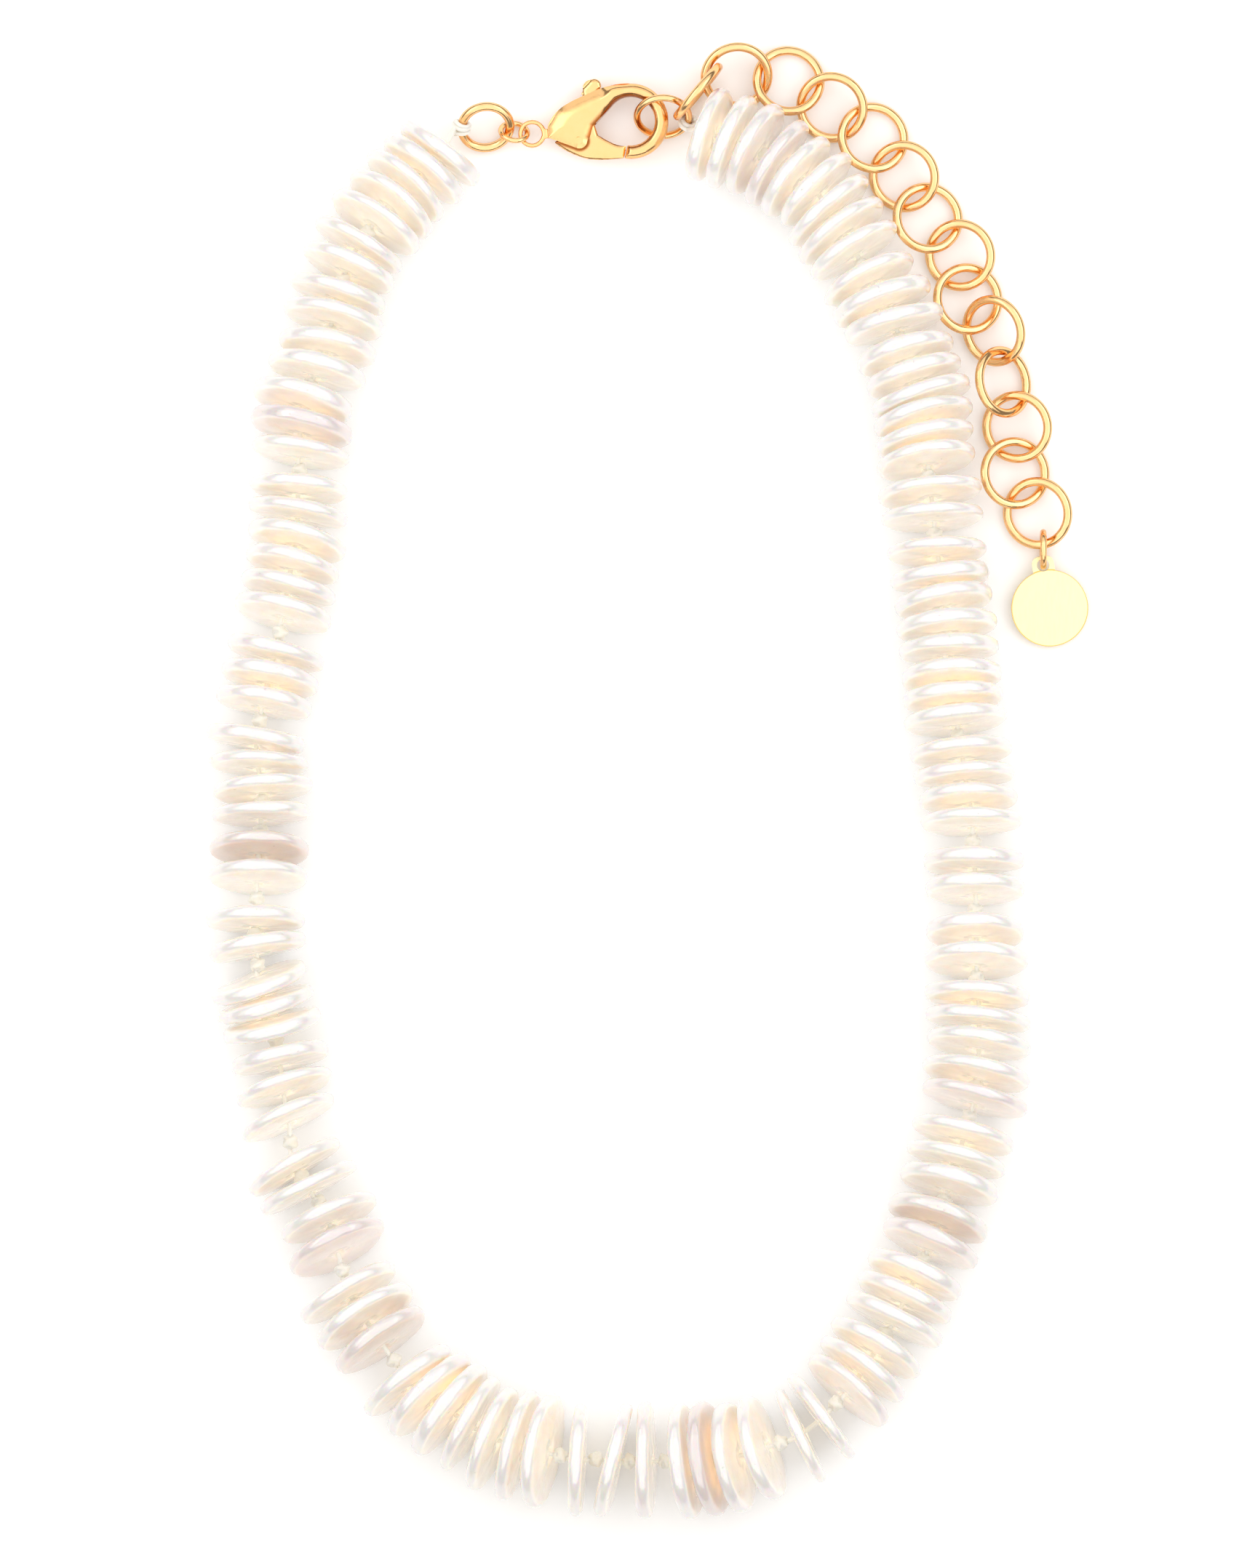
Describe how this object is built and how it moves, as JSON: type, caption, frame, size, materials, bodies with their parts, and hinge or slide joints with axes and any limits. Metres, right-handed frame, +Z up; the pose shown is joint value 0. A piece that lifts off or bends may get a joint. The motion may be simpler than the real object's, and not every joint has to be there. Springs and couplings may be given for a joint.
{
  "type": "beaded necklace",
  "caption": "Collar of upright pearly shell discs knotted on a thread, closed by a gold-toned lobster clasp, with an extender chain of round links that ends in a flat round tag.",
  "frame": {"origin": "on the surface that the necklace lies on, below the middle of its bounding box", "axes": "+Z up from the surface, +Y from the lowest discs of the loop to the clasp, +X to the side that the extender chain lies on"},
  "size_m": [0.1122, 0.1878, 0.0141],
  "materials": {
    "nacre": "polished mother of pearl, creamy white with a warm glow where it is thin",
    "thread": "twisted cream cord",
    "gold_wire": "bright gold plate",
    "clasp_gold": "bright gold plate, cast and polished",
    "charm_gold": "pale gold plate, satin face"
  },
  "bodies": {
    "necklace": {"disc_string_left": "nacre", "disc_string_right": "nacre", "thread": "thread", "end_ring": "gold_wire", "clasp_link": "gold_wire", "clasp_body": "clasp_gold", "clasp_pin": "clasp_gold", "clasp_ring": "gold_wire", "link_01": "gold_wire", "link_02": "gold_wire", "link_03": "gold_wire", "link_04": "gold_wire", "link_05": "gold_wire", "link_06": "gold_wire", "link_07": "gold_wire", "link_08": "gold_wire", "link_09": "gold_wire", "link_10": "gold_wire", "link_11": "gold_wire", "link_12": "gold_wire", "link_13": "gold_wire", "link_14": "gold_wire", "charm_ring": "gold_wire", "charm": "charm_gold"},
    "gate": {"clasp_gate": "clasp_gold"}
  },
  "joints": [
    {"name": "clasp_gate_pivot", "type": "hinge", "parent": "necklace", "child": "gate", "pos_m": [-0.0087, 0.08136, 0.00205], "axis": [-0.061, 0, 0.9981], "range_deg": [0, 20], "stiffness_Nm_per_rad": 0.05, "springref_deg": -11.46}
  ]
}
